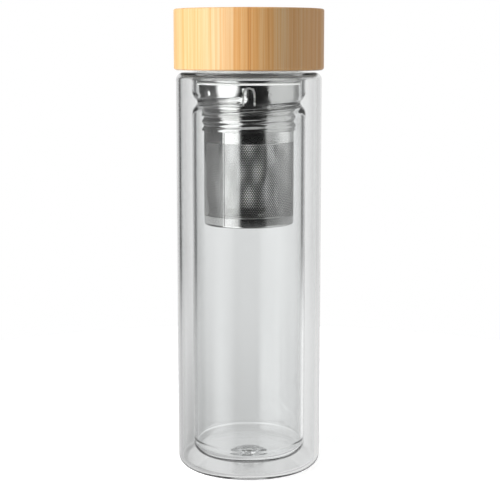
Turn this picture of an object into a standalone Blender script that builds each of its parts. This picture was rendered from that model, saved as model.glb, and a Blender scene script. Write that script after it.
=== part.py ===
# Double-walled glass bottle with a bamboo lid and a screw-in stainless tea infuser.
# Metres, +Z up. The origin is the centre of the foot. The front of the bottle faces -Y.

import math

import bmesh
import bpy

mm = 0.001

# Bottle
GLASS_RADIUS = 35.0 * mm
GLASS_HEIGHT = 193.0 * mm
SHELL_WALL = 2.0 * mm
FOOT_RADIUS = 4.8 * mm
SHOULDER_RADIUS = 3.5 * mm
PUNT_RADIUS = 8.6 * mm
PUNT_SLOPE = 0.9 * mm
PUNT_DEPTH = 1.4 * mm
AIR_GAP = 5.6 * mm
FLASK_WALL = 1.8 * mm
FLASK_LIFT = 6.2 * mm
FLASK_FLOOR = 2.2 * mm
FLASK_CORNER = 5.0 * mm
VENT_RADIUS = 2.5 * mm
VENT_HEAD_WIDTH = 2.0 * mm
VENT_HEAD_THICKNESS = 0.6 * mm
VENT_STEM_RISE = 0.6 * mm

# Collar: every height is counted down from the rim of the glass
FLANGE_DROP = 3.3 * mm
FLANGE_THICKNESS = 1.2 * mm
FLANGE_WIDTH = 1.0 * mm
FLANGE_PLAY = 0.5 * mm
SHEET = 0.4 * mm
NECK_BAND = 5.9 * mm
THREAD_LENGTH = 9.4 * mm
THREAD_LEAD = 8.0 * mm
THREAD_DEPTH = 1.3 * mm
THREAD_DROP = 14.4 * mm
THREAD_FADE = 1.2 * mm
SKIRT_STEP = 1.33 * mm
SKIRT_STEP_HEIGHT = 0.7 * mm
SKIRT_LENGTH = 7.0 * mm
SKIRT_PITCH = 4.0 * mm
SKIRT_THREAD_DEPTH = 0.9 * mm
SKIRT_FADE = 0.7 * mm
SEAL_THICKNESS = 0.9 * mm
TONGUE_WIDTH = 4.2 * mm
TONGUE_HEIGHT = 8.7 * mm
TONGUE_DROP = 15.2 * mm
TONGUE_SLOT = 1.1 * mm
DIMPLE_RADIUS = 1.5 * mm
DIMPLE_TOP_RADIUS = 0.9 * mm
DIMPLE_HEIGHT = 0.5 * mm
DIMPLE_DROP = 9.0 * mm

# Glass thread lugs in the neck
LUG_WIDTH = 1.75 * mm
LUG_OUTSIDE_WIDTH = 2.6 * mm
LUG_OUTSIDE_DEPTH = 2.45 * mm
LUG_REACH = 6.4 * mm

# Lid
LID_OVERHANG = 1.0 * mm
LID_GAP = 1.3 * mm
LID_HEIGHT = 28.7 * mm
LID_EDGE = 0.8 * mm
LID_RECESS_DEPTH = 12.0 * mm
LID_RECESS_MARGIN = 6.0 * mm
PLUG_WALL = 1.8 * mm
PLUG_THREAD_LENGTH = 9.2 * mm
PLUG_TOP_WALL = 2.5 * mm
GASKET_THICKNESS = 1.6 * mm
GASKET_SQUEEZE = 0.4 * mm
GASKET_DEPTH = 3.3 * mm
DISC_THICKNESS = 0.6 * mm
DISC_LIP = 2.5 * mm

# Basket
BASKET_STEP = 1.02 * mm
BASKET_SHEET = 0.35 * mm
BASKET_TOP_BAND = 5.3 * mm
MESH_LENGTH = 35.2 * mm
FOOT_BAND_HEIGHT = 4.4 * mm
FOOT_BAND_WALL = 0.4 * mm
FOOT_LIP_WIDTH = 2.2 * mm
RING_THREAD_LENGTH = 6.1 * mm
RING_WALL = 0.75 * mm
HOLE_HEIGHT = 2.4 * mm
FLOOR_HOLE_LENGTH = 2.4 * mm

# Clearances
FIT = 0.3 * mm
THREAD_PLAY = 0.35 * mm
OVERRUN = 2.0 * mm
WELD = 0.01 * mm

# Counts and shares
SEGMENTS = 28
VENT_SEGMENTS = 16
DIMPLE_SEGMENTS = 10
TONGUE_STEPS = 8
MESH_COLUMNS = 36
MESH_ROWS = 8
FLOOR_COLUMNS = 24
FLOOR_RINGS = 3
THREAD_STARTS = 2
SKIRT_STARTS = 1
STEPS_PER_WAVE = 5
CORNER_STEPS = 3
SMALL_CORNER_STEPS = 3
DIMPLES = 5
DIMPLE_FIRST_ANGLE = math.radians(-69)
LUG_WINDOW = math.radians(62)
LUG_WINDOW_FADE = math.radians(20)
GROOVE_END = math.radians(72)
SHARP_ANGLE = math.radians(35)

# Derived places
glass_bore = GLASS_RADIUS - SHELL_WALL - AIR_GAP - FLASK_WALL
flask_radius = glass_bore + FLASK_WALL
flange_radius = glass_bore - FLANGE_PLAY
collar_radius = flange_radius - FLANGE_WIDTH
flange_top = GLASS_HEIGHT - FLANGE_DROP
flange_base = flange_top - FLANGE_THICKNESS
thread_top = flange_base - NECK_BAND
thread_base = thread_top - THREAD_LENGTH
thread_middle = GLASS_HEIGHT - THREAD_DROP
skirt_top = thread_base - SKIRT_STEP_HEIGHT
skirt_base = skirt_top - SKIRT_LENGTH
skirt_radius = collar_radius - SKIRT_STEP
plug_crest = collar_radius - SHEET - THREAD_PLAY
plug_root = plug_crest - THREAD_DEPTH
lid_base = GLASS_HEIGHT + LID_GAP
lid_top = lid_base + LID_HEIGHT
lid_radius = GLASS_RADIUS + LID_OVERHANG
ring_crest = skirt_radius - SHEET - THREAD_PLAY
ring_root = ring_crest - SKIRT_THREAD_DEPTH
ring_bore = ring_root - RING_WALL
basket_radius = skirt_radius - BASKET_STEP
basket_top = skirt_base - FIT
mesh_top = basket_top - BASKET_TOP_BAND
mesh_base = mesh_top - MESH_LENGTH
foot_base = mesh_base - FIT - FOOT_BAND_HEIGHT


def material(name, colour, roughness, metallic=0.0, alpha=1.0):
    """A plain Principled material."""
    made = bpy.data.materials.new(name)
    made.use_nodes = True
    shader = made.node_tree.nodes["Principled BSDF"]
    shader.inputs["Base Color"].default_value = (*colour, 1.0)
    shader.inputs["Roughness"].default_value = roughness
    shader.inputs["Metallic"].default_value = metallic
    shader.inputs["Alpha"].default_value = alpha
    made.diffuse_color = (*colour, alpha)
    return made


def smooth_step(value, low, high):
    """0 below low, 1 above high, and an even curve between them."""
    share = min(1.0, max(0.0, (value - low) / (high - low)))
    return share * share * (3.0 - 2.0 * share)


def arc(centre_r, centre_z, radius, start, end, steps):
    """Points of an arc in the profile's plane, angles in degrees from +X."""
    points = []
    for i in range(steps + 1):
        a = math.radians(start + (end - start) * i / steps)
        points.append((centre_r + radius * math.cos(a), centre_z + radius * math.sin(a)))
    return points


def heights(first, last, step):
    """Even heights from first to last, no further apart than step."""
    count = max(1, math.ceil(abs(last - first) / step))
    return [first + (last - first) * i / count for i in range(count + 1)]


def put(name, mesh, look, group):
    """An object for a mesh, shaded smooth with sharp edges kept."""
    made = bpy.data.objects.new(name, mesh)
    mesh.materials.clear()
    mesh.materials.append(look)
    mesh.shade_smooth()
    mesh.set_sharp_from_angle(angle=SHARP_ANGLE)
    group.objects.link(made)
    return made


def outline_mesh(name, points, closed):
    """The edges of a profile at +X."""
    mesh = bpy.data.meshes.new(name)
    edges = [(i, i + 1) for i in range(len(points) - 1)]
    if closed:
        edges.append((len(points) - 1, 0))
    mesh.from_pydata([(r, 0.0, z) for r, z in points], edges, [])
    return mesh


def turn(name, points, look, group, closed=True, segments=SEGMENTS):
    """A profile turned round the bottle's axis. It runs down its outer side."""
    made = put(name, outline_mesh(name, points, closed), look, group)
    screw = made.modifiers.new("turn", "SCREW")
    screw.steps = segments
    screw.render_steps = segments
    screw.use_merge_vertices = True
    screw.merge_threshold = WELD
    screw.use_smooth_shade = True
    return made


def settle(made):
    """Replace an object's modifiers by the mesh that they give."""
    graph = bpy.context.evaluated_depsgraph_get()
    mesh = bpy.data.meshes.new_from_object(made.evaluated_get(graph))
    name, group = made.name, made.users_collection[0]
    look = made.data.materials[0]
    bpy.data.objects.remove(made)
    mesh.name = name
    return put(name, mesh, look, group)


def displace(made, shift):
    """Move each vertex radially by shift(radius, angle, z)."""
    for vertex in made.data.vertices:
        x, y, z = vertex.co
        radius = math.hypot(x, y)
        angle = math.atan2(y, x)
        moved = radius + shift(radius, angle, z)
        vertex.co = (moved * math.cos(angle), moved * math.sin(angle), z)
    made.data.update()
    return split_along_thread(made)


def split_along_thread(made):
    """Cut the bent quads along the rise of a right-hand thread, where the surface is straightest."""
    shaped = bmesh.new()
    shaped.from_mesh(made.data)
    for face in [face for face in shaped.faces if len(face.verts) == 4]:
        first, second, third, fourth = face.verts
        for low, high in ((first, third), (second, fourth)):
            turned = low.co.x * high.co.y - low.co.y * high.co.x
            if turned * (high.co.z - low.co.z) > 0:
                bmesh.utils.face_split(face, low, high)
                break
    shaped.to_mesh(made.data)
    shaped.free()
    return made


def thread_dip(angle, z):
    """Depth share of the two-start lid thread: 1 in the groove, 0 on the crest."""
    turns = THREAD_STARTS * (math.tau * (z - thread_middle) / THREAD_LEAD - angle)
    return 0.5 + 0.5 * math.cos(turns)


def skirt_dip(angle, z):
    """Depth share of the single-start basket thread."""
    turns = SKIRT_STARTS * (math.tau * (z - skirt_base) / SKIRT_PITCH - angle)
    return 0.5 + 0.5 * math.cos(turns)


def groove_reach(angle, z):
    """Angle along its own helix of the groove nearest to a place, from the middle of a lug at rest."""
    turns = THREAD_STARTS * ((z - thread_middle) / THREAD_LEAD - angle / math.tau)
    return math.tau * (z - thread_middle) / THREAD_LEAD - math.tau * (turns - round(turns)) / THREAD_STARTS


def collar_shift(radius, angle, z):
    """How far the sheet of the collar lies inside its plain profile: the same on both faces."""
    if z > skirt_top + SKIRT_STEP_HEIGHT / 2:
        keep = 1.0 - smooth_step(z, thread_top - THREAD_FADE, thread_top)
        keep *= 1.0 - smooth_step(groove_reach(angle, z), GROOVE_END, GROOVE_END + LUG_WINDOW_FADE)
        root = 1.0 - smooth_step(z, thread_base, thread_base + THREAD_FADE)
        dip = thread_dip(angle, z)
        return -THREAD_DEPTH * keep * (dip + (1.0 - dip) * root)
    keep = smooth_step(z, skirt_base, skirt_base + SKIRT_FADE)
    keep *= 1.0 - smooth_step(z, skirt_top - SKIRT_FADE, skirt_top)
    return -SKIRT_THREAD_DEPTH * keep * skirt_dip(angle, z)


def plug_shift(radius, angle, z):
    """The insert's thread, which runs out to its root at both ends."""
    if radius < plug_crest - FIT:
        return 0.0
    base = lid_plug_base
    keep = smooth_step(z, base, base + THREAD_FADE)
    keep *= 1.0 - smooth_step(z, base + PLUG_THREAD_LENGTH - THREAD_FADE, base + PLUG_THREAD_LENGTH)
    crest = (1.0 - thread_dip(angle, z)) * keep
    return -THREAD_DEPTH * (1.0 - crest)


def ring_shift(radius, angle, z):
    """The basket ring's thread, which runs out to its root at both ends."""
    if radius < ring_crest - FIT:
        return 0.0
    top = ring_top
    base = top - RING_THREAD_LENGTH
    keep = smooth_step(z, base, base + SKIRT_FADE)
    keep *= 1.0 - smooth_step(z, top - SKIRT_FADE, top)
    crest = (1.0 - skirt_dip(angle, z)) * keep
    return -SKIRT_THREAD_DEPTH * (1.0 - crest)


def lug_share(angle, z, width):
    """How much of a lug's height there is at a place of the neck."""
    side = (angle + math.pi / 2) % math.pi - math.pi / 2
    window = 1.0 - smooth_step(abs(side), LUG_WINDOW, LUG_WINDOW + LUG_WINDOW_FADE)
    off = z - thread_middle - THREAD_LEAD * side / math.tau
    return window * math.exp(-((off / width) ** 2))


def flask_shift(radius, angle, z):
    """The two lugs, pressed in from outside while the glass is soft."""
    if abs(z - thread_middle) > LUG_REACH:
        return 0.0
    if radius > glass_bore + FLASK_WALL / 2:
        return -LUG_OUTSIDE_DEPTH * lug_share(angle, z, LUG_OUTSIDE_WIDTH)
    depth = glass_bore - (collar_radius - THREAD_DEPTH + THREAD_PLAY)
    return -depth * lug_share(angle, z, LUG_WIDTH)


def make_outer_shell(look, group):
    """Outer glass wall: rolled shoulder, foot, and a punt round the vent hole."""
    inner = GLASS_RADIUS - SHELL_WALL
    rim = flask_radius + FIT
    top = GLASS_HEIGHT
    points = [(rim, top)]
    points += arc(GLASS_RADIUS - SHOULDER_RADIUS, top - SHOULDER_RADIUS, SHOULDER_RADIUS, 90, 0, CORNER_STEPS)
    points += arc(GLASS_RADIUS - FOOT_RADIUS, FOOT_RADIUS, FOOT_RADIUS, 0, -90, CORNER_STEPS)
    points += [(PUNT_RADIUS + PUNT_SLOPE, 0.0), (PUNT_RADIUS, PUNT_DEPTH), (VENT_RADIUS, PUNT_DEPTH)]
    points += [(VENT_RADIUS, PUNT_DEPTH + SHELL_WALL), (PUNT_RADIUS, PUNT_DEPTH + SHELL_WALL)]
    points += [(PUNT_RADIUS + PUNT_SLOPE, SHELL_WALL)]
    foot = FOOT_RADIUS - SHELL_WALL
    points += arc(inner - foot, SHELL_WALL + foot, foot, -90, 0, SMALL_CORNER_STEPS)
    bend = SHOULDER_RADIUS - SHELL_WALL
    points += arc(inner - bend, top - SHELL_WALL - bend, bend, 0, 90, SMALL_CORNER_STEPS)
    points.append((rim, top - SHELL_WALL))
    return turn("outer_shell", points, look, group)


def make_inner_flask(look, group):
    """Inner glass wall with a rounded floor and two thread lugs."""
    neck_top = thread_middle + LUG_REACH
    neck_base = thread_middle - LUG_REACH
    outside = heights(neck_top, neck_base, LUG_OUTSIDE_WIDTH / 2)
    inside = heights(neck_base, neck_top, LUG_WIDTH / 2)
    base = FLASK_LIFT
    corner = FLASK_CORNER - FLASK_WALL
    points = [(glass_bore, GLASS_HEIGHT), (flask_radius, GLASS_HEIGHT)]
    points += [(flask_radius, z) for z in outside]
    points += arc(flask_radius - FLASK_CORNER, base + FLASK_CORNER, FLASK_CORNER, 0, -90, CORNER_STEPS)
    points.append((0.0, base))
    points.append((0.0, base + FLASK_FLOOR))
    points += arc(glass_bore - corner, base + FLASK_FLOOR + corner, corner, -90, 0, SMALL_CORNER_STEPS)
    points += [(glass_bore, z) for z in inside]
    made = turn("inner_flask", points, look, group)
    return displace(settle(made), flask_shift)


def make_base_vent_plug(look, group):
    """Soft plug pushed into the vent hole from below. It stays clear of the table."""
    stem = VENT_RADIUS - FIT
    head = stem + VENT_HEAD_WIDTH
    seat = PUNT_DEPTH - FIT
    base = seat - VENT_HEAD_THICKNESS
    top = PUNT_DEPTH + SHELL_WALL + VENT_STEM_RISE
    points = [(0.0, top), (stem, top), (stem, seat), (head, seat), (head, base), (0.0, base)]
    return turn("base_vent_plug", points, look, group, closed=False, segments=VENT_SEGMENTS)


def make_collar_seal(look, group):
    """Soft ring under the flange."""
    top = flange_base - FIT
    base = top - SEAL_THICKNESS
    inner = collar_radius + FIT
    points = [(inner, top), (flange_radius, top), (flange_radius, base), (inner, base)]
    return turn("collar_seal", points, look, group)


def make_tongue_cutter(look, group):
    """An arch-shaped slot that frees the tongue in the front of the collar."""
    half = TONGUE_WIDTH / 2 + TONGUE_SLOT
    base = GLASS_HEIGHT - TONGUE_DROP
    spring = base + TONGUE_HEIGHT - half
    near = half - TONGUE_SLOT
    points = [(half, base), *arc(0.0, spring, half, 0, 180, TONGUE_STEPS), (-half, base)]
    points += [(-near, base), *arc(0.0, spring, near, 180, 0, TONGUE_STEPS), (near, base)]
    curve = bpy.data.curves.new("tongue_cutter", "CURVE")
    curve.dimensions = "2D"
    curve.fill_mode = "BOTH"
    curve.extrude = OVERRUN
    spline = curve.splines.new("POLY")
    spline.points.add(len(points) - 1)
    for point, (x, z) in zip(spline.points, points):
        point.co = (x, z, 0.0, 1.0)
    spline.use_cyclic_u = True
    made = bpy.data.objects.new("tongue_cutter_outline", curve)
    made.rotation_euler = (math.radians(90), 0.0, 0.0)
    made.location = (0.0, -collar_radius, 0.0)
    group.objects.link(made)
    bpy.context.view_layer.update()
    graph = bpy.context.evaluated_depsgraph_get()
    mesh = bpy.data.meshes.new_from_object(made.evaluated_get(graph))
    cutter = put("tongue_cutter", mesh, look, group)
    cutter.matrix_world = made.matrix_world.copy()
    bpy.data.objects.remove(made)
    shaped = bmesh.new()
    shaped.from_mesh(mesh)
    bmesh.ops.remove_doubles(shaped, verts=shaped.verts, dist=WELD)
    bmesh.ops.recalc_face_normals(shaped, faces=shaped.faces)
    shaped.to_mesh(mesh)
    shaped.free()
    return cutter


def make_dimple(index, angle, look, group):
    """A low round boss pressed outwards, rooted in the middle of the sheet."""
    root = collar_radius - SHEET / 2 - SHEET / 4
    depth = collar_radius + DIMPLE_HEIGHT - root
    mesh = bpy.data.meshes.new("dimple")
    shaped = bmesh.new()
    bmesh.ops.create_cone(
        shaped,
        cap_ends=True,
        segments=DIMPLE_SEGMENTS,
        radius1=DIMPLE_RADIUS,
        radius2=DIMPLE_TOP_RADIUS,
        depth=depth,
    )
    shaped.to_mesh(mesh)
    shaped.free()
    made = put(f"dimple_{index}", mesh, look, group)
    reach = root + depth / 2
    made.location = (reach * math.cos(angle), reach * math.sin(angle), GLASS_HEIGHT - DIMPLE_DROP)
    made.rotation_euler = (0.0, math.pi / 2, angle)
    return made


def hide_tool(made):
    """Cutters and other tools show as wire and stay out of the model."""
    made.hide_render = True
    made.display_type = "WIRE"


def make_infuser_collar(look, group, tools):
    """Pressed sheet collar: flange, rolled two-start thread, ribbed skirt with the basket's thread."""
    inner = collar_radius - SHEET
    thread = heights(thread_top, thread_base, THREAD_LEAD / THREAD_STARTS / STEPS_PER_WAVE)
    skirt = heights(skirt_top, skirt_base, SKIRT_PITCH / STEPS_PER_WAVE)
    points = [(flange_radius, flange_top), (flange_radius, flange_base), (collar_radius, flange_base)]
    points += [(collar_radius, z) for z in thread]
    points += [(skirt_radius, z) for z in skirt]
    points += [(skirt_radius - SHEET, z) for z in reversed(skirt)]
    points += [(inner, z) for z in reversed(thread)]
    points.append((inner, flange_top))
    made = turn("infuser_collar", points, look, group)
    made = displace(settle(made), collar_shift)
    cut = made.modifiers.new("tongue slot", "BOOLEAN")
    cut.operation = "DIFFERENCE"
    cut.object = make_tongue_cutter(look, tools)
    hide_tool(cut.object)
    for index in range(DIMPLES):
        angle = DIMPLE_FIRST_ANGLE + math.tau * index / DIMPLES
        join = made.modifiers.new(f"dimple {index}", "BOOLEAN")
        join.operation = "UNION"
        join.object = make_dimple(index, angle, look, tools)
        hide_tool(join.object)
    return made


def make_lid_plug(look, group):
    """Moulded insert: head glued in the cap, neck for the gasket, hollow threaded skirt."""
    head = lid_radius - LID_RECESS_MARGIN - FIT
    head_top = lid_base + LID_RECESS_DEPTH - FIT
    neck = gasket_bore - FIT
    press = gasket_top + FIT
    shoulder = flange_radius - FIT
    thread_end = lid_plug_base + PLUG_THREAD_LENGTH
    bore = plug_root - PLUG_WALL
    thread = heights(thread_end, lid_plug_base, THREAD_LEAD / THREAD_STARTS / STEPS_PER_WAVE)
    points = [(0.0, head_top), (head, head_top), (head, lid_base + FIT), (shoulder, lid_base + FIT)]
    points += [(shoulder, press), (neck, press), (neck, gasket_base - FIT)]
    points += [(plug_root, gasket_base - FIT)]
    points += [(plug_crest, z) for z in thread]
    points += [(bore, lid_plug_base), (bore, head_top - PLUG_TOP_WALL), (0.0, head_top - PLUG_TOP_WALL)]
    made = turn("lid_plug", points, look, group, closed=False)
    return displace(settle(made), plug_shift)


def make_bamboo_cap(look, group):
    """Turned cap with eased edges and a blind recess for the insert."""
    recess = lid_radius - LID_RECESS_MARGIN
    ceiling = lid_base + LID_RECESS_DEPTH
    points = [(0.0, lid_top)]
    points += arc(lid_radius - LID_EDGE, lid_top - LID_EDGE, LID_EDGE, 90, 0, 3)
    points += arc(lid_radius - LID_EDGE, lid_base + LID_EDGE, LID_EDGE, 0, -90, 3)
    points += [(recess, lid_base), (recess, ceiling), (0.0, ceiling)]
    return turn("bamboo_cap", points, look, group, closed=False)


def make_lid_gasket(look, group):
    """Flat washer in the insert's groove."""
    outer = gasket_bore + GASKET_DEPTH
    points = [(gasket_bore, gasket_top), (outer, gasket_top)]
    points += [(outer, gasket_base), (gasket_bore, gasket_base)]
    return turn("lid_gasket", points, look, group)


def make_lid_disc(look, group):
    """Pressed pan that closes the insert, with its lip turned up inside."""
    bore = plug_root - PLUG_WALL
    lip = bore - FIT
    seat = lid_plug_base - FIT
    base = seat - DISC_THICKNESS
    points = [(0.0, seat), (lip - DISC_THICKNESS, seat), (lip - DISC_THICKNESS, seat + DISC_LIP)]
    points += [(lip, seat + DISC_LIP), (lip, seat), (plug_root, seat), (plug_root, base), (0.0, base)]
    return turn("lid_disc", points, look, group, closed=False)


def make_basket_ring(look, group):
    """Threaded ring with a plain sleeve that holds the basket's wall."""
    thread = heights(ring_top, ring_top - RING_THREAD_LENGTH, SKIRT_PITCH / STEPS_PER_WAVE)
    sleeve = basket_radius - BASKET_SHEET - FIT
    shoulder = ring_top - RING_THREAD_LENGTH
    points = [(ring_crest, z) for z in thread]
    points += [(sleeve, shoulder - FIT), (sleeve, mesh_top), (ring_bore, mesh_top), (ring_bore, ring_top)]
    made = turn("basket_ring", points, look, group)
    return displace(settle(made), ring_shift)


def pierce(made, is_hole):
    """Delete the faces that is_hole picks by their middle."""
    shaped = bmesh.new()
    shaped.from_mesh(made.data)
    holes = [face for face in shaped.faces if is_hole(face.calc_center_median())]
    bmesh.ops.delete(shaped, geom=holes, context="FACES")
    shaped.to_mesh(made.data)
    shaped.free()


def thicken(made, wall, offset):
    """Give an open surface its sheet thickness."""
    shell = made.modifiers.new("sheet", "SOLIDIFY")
    shell.thickness = wall
    shell.offset = offset
    return made


def make_basket_wall(look, group):
    """Perforated tube between two plain bands: rows of holes, each row half a step on from the last."""
    land = (MESH_LENGTH - MESH_ROWS * HOLE_HEIGHT) / (MESH_ROWS + 1)
    levels = [basket_top, mesh_top - land]
    for row in range(1, MESH_ROWS):
        above = mesh_top - row * (land + HOLE_HEIGHT)
        levels += [above, above - land]
    levels.append(mesh_base)
    levels.insert(len(levels) - 1, mesh_base + land)
    made = settle(turn("basket_wall", [(basket_radius, z) for z in levels], look, group, False, MESH_COLUMNS))

    def is_hole(middle):
        row = (mesh_top - land - middle.z) / (land + HOLE_HEIGHT)
        if row < 0 or row % 1 > HOLE_HEIGHT / (land + HOLE_HEIGHT):
            return False
        column = math.floor(math.atan2(middle.y, middle.x) / math.tau * MESH_COLUMNS)
        return (column + math.floor(row)) % 2 == 0 and middle.z > mesh_base + land

    pierce(made, is_hole)
    return thicken(made, BASKET_SHEET, -1)


def make_basket_foot_band(look, group):
    """Plain hoop with a lip under the floor."""
    outer = basket_radius
    inner = outer - FOOT_BAND_WALL
    top = foot_base + FOOT_BAND_HEIGHT
    lip = inner - FOOT_LIP_WIDTH
    points = [(inner, top), (outer, top), (outer, foot_base), (lip, foot_base)]
    points += [(lip, foot_base + FOOT_BAND_WALL), (inner, foot_base + FOOT_BAND_WALL)]
    return turn("basket_foot_band", points, look, group)


def make_basket_floor(look, group):
    """Perforated disc that lies on the hoop's lip."""
    outer = basket_radius - FOOT_BAND_WALL - FIT
    level = foot_base + FOOT_BAND_WALL + FIT + BASKET_SHEET
    land = (outer - FLOOR_RINGS * FLOOR_HOLE_LENGTH) / (FLOOR_RINGS + 1)
    radii = [0.0]
    for ring in range(FLOOR_RINGS):
        radii += [radii[-1] + land, radii[-1] + land + FLOOR_HOLE_LENGTH]
    radii.append(outer)
    made = settle(turn("basket_floor", [(r, level) for r in radii], look, group, False, FLOOR_COLUMNS))

    def is_hole(middle):
        reach = math.hypot(middle.x, middle.y)
        ring = (reach - land) / (land + FLOOR_HOLE_LENGTH)
        if ring < 0 or ring % 1 > FLOOR_HOLE_LENGTH / (land + FLOOR_HOLE_LENGTH):
            return False
        column = math.floor(math.atan2(middle.y, middle.x) / math.tau * FLOOR_COLUMNS)
        return (column + math.floor(ring)) % 2 == 0

    pierce(made, is_hole)
    return thicken(made, BASKET_SHEET, -1)


def carrier(name, height, pieces, group):
    """An empty on the bottle's axis that carries the pieces of one moving group."""
    made = bpy.data.objects.new(name, None)
    made.location = (0.0, 0.0, height)
    group.objects.link(made)
    bpy.context.view_layer.update()
    for piece in pieces:
        piece.parent = made
        piece.matrix_parent_inverse = made.matrix_world.inverted()
    return made


gasket_base = flange_top + FIT
gasket_top = gasket_base + GASKET_THICKNESS
gasket_bore = plug_root - GASKET_SQUEEZE + FIT
lid_plug_base = thread_base + FIT
ring_top = skirt_top - FIT


def main():
    for old in list(bpy.data.objects):
        bpy.data.objects.remove(old)
    bottle = bpy.data.collections.new("infuser_bottle")
    tools = bpy.data.collections.new("infuser_bottle_cutters")
    bpy.context.scene.collection.children.link(bottle)
    bpy.context.scene.collection.children.link(tools)

    glass = material("borosilicate glass", (0.93, 0.95, 0.95), 0.03, alpha=0.35)
    steel = material("stainless steel", (0.66, 0.66, 0.65), 0.2, metallic=1.0)
    brushed = material("brushed stainless sheet", (0.6, 0.6, 0.59), 0.35, metallic=1.0)
    bamboo = material("bamboo", (0.72, 0.46, 0.2), 0.5)
    silicone = material("white silicone", (0.85, 0.85, 0.83), 0.5)
    insert = material("moulded insert", (0.8, 0.8, 0.78), 0.4)

    make_outer_shell(glass, bottle)
    make_inner_flask(glass, bottle)
    make_base_vent_plug(silicone, bottle)
    infuser = [make_collar_seal(silicone, bottle), make_infuser_collar(steel, bottle, tools)]
    lid = [
        make_lid_gasket(silicone, bottle),
        make_bamboo_cap(bamboo, bottle),
        make_lid_plug(insert, bottle),
        make_lid_disc(steel, bottle),
    ]
    basket = [
        make_basket_foot_band(steel, bottle),
        make_basket_ring(steel, bottle),
        make_basket_wall(brushed, bottle),
        make_basket_floor(brushed, bottle),
    ]
    carrier("infuser_carrier", flange_base, infuser, bottle)
    carrier("lid_carrier", lid_base, lid, bottle)
    carrier("basket_carrier", skirt_base, basket, bottle)


main()
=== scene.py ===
import math
from functools import partial

import bmesh
import bpy
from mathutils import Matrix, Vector


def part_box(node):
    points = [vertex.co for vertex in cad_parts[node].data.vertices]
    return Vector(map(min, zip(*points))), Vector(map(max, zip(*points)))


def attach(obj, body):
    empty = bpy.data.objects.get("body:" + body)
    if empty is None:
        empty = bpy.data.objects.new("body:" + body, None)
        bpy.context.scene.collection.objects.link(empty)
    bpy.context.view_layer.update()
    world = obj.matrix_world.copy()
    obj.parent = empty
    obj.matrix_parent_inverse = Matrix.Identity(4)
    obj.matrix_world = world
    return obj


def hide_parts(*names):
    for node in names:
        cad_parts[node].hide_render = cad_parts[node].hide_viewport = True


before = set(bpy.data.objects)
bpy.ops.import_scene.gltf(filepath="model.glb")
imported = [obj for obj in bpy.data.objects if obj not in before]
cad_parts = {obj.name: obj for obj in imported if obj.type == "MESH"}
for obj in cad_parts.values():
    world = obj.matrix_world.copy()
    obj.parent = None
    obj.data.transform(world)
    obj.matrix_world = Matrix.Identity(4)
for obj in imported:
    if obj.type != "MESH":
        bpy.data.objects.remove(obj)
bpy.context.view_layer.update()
mm = 0.001
print("frame loaded")


# Sizes read from the frame: box ends are (lowest corner, highest corner)

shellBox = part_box("outer_shell")
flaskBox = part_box("inner_flask")
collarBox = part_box("infuser_collar")
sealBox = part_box("collar_seal")
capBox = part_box("bamboo_cap")
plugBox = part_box("lid_plug")
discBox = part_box("lid_disc")
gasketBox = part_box("lid_gasket")
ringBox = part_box("basket_ring")
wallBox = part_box("basket_wall")
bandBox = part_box("basket_foot_band")
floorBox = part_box("basket_floor")
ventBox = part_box("base_vent_plug")

glassRadius = shellBox[1][0]
rimHeight = shellBox[1][2]
flaskRadius = flaskBox[1][0]
flaskBase = flaskBox[0][2]
flangeRadius = collarBox[1][0]
flangeTop = collarBox[1][2]
skirtBase = collarBox[0][2]
capRadius = capBox[1][0]

# The threads, and the collar whose sheet the glass, the lid and the basket fit

threadSizes = {
    "middle": rimHeight - 14.4 * mm,
    "lead": 8.0 * mm,
    "starts": 2,
    "depth": 1.3 * mm,
    "play": 0.35 * mm,
    "fade": 1.2 * mm,
    "step": 0.22 * mm,
}

collarSizes = {
    "segments": 256,
    "sheet": 0.4 * mm,
    "flangeWidth": 1.0 * mm,
    "flangeThickness": 1.2 * mm,
    "flangeRound": 0.45 * mm,
    "neckBand": 5.9 * mm,
    "threadLength": 9.4 * mm,
    "stepHeight": 0.7 * mm,
    "skirtStep": 1.33 * mm,
    "skirtPitch": 4.0 * mm,
    "skirtDepth": 0.9 * mm,
    "skirtFade": 0.7 * mm,
    "dimples": 5,
    "dimpleFirstAngle": math.radians(-69),
    "dimpleRadius": 1.9 * mm,
    "dimpleHeight": 0.5 * mm,
    "dimpleDrop": 9.0 * mm,
    "grooveEnd": math.radians(72),
    "grooveEndFade": math.radians(20),
    "tongueWidth": 4.2 * mm,
    "tongueHeight": 8.7 * mm,
    "tongueDrop": 15.2 * mm,
    "tongueSlot": 0.9 * mm,
    "tongueLift": 0.75 * mm,
    "tongueFade": 1.0 * mm,
    "cutterReach": 2.0 * mm,
    "archSteps": 24,
    "edgeSteps": 5,
    "sharpAngle": 50,
}

collarRadius = flangeRadius - collarSizes["flangeWidth"]
threadTop = flangeTop - collarSizes["flangeThickness"] - collarSizes["neckBand"]
threadBase = threadTop - collarSizes["threadLength"]
skirtTop = threadBase - collarSizes["stepHeight"]
skirtRadius = collarRadius - collarSizes["skirtStep"]


# Mesh tools

tiny = 1e-7
sharpDegrees = 40


def smoothStep(value, low, high):
    share = min(1.0, max(0.0, (value - low) / (high - low)))
    return share * share * (3.0 - 2.0 * share)


def arcPoints(centreR, centreZ, radius, startDegrees, endDegrees, steps):
    points = []
    for i in range(steps + 1):
        a = math.radians(startDegrees + (endDegrees - startDegrees) * i / steps)
        points.append((centreR + radius * math.cos(a), centreZ + radius * math.sin(a)))
    return points


def evenHeights(first, last, step):
    count = max(1, math.ceil(abs(last - first) / step))
    return [first + (last - first) * i / count for i in range(count + 1)]


def shadeMesh(mesh, sharpAngle=sharpDegrees):
    mesh.shade_smooth()
    mesh.set_sharp_from_angle(angle=math.radians(sharpAngle))


def addPiece(name, mesh, material):
    piece = bpy.data.objects.new(name, mesh)
    bpy.context.scene.collection.objects.link(piece)
    mesh.materials.clear()
    mesh.materials.append(material)
    shadeMesh(mesh)
    return piece


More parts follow.
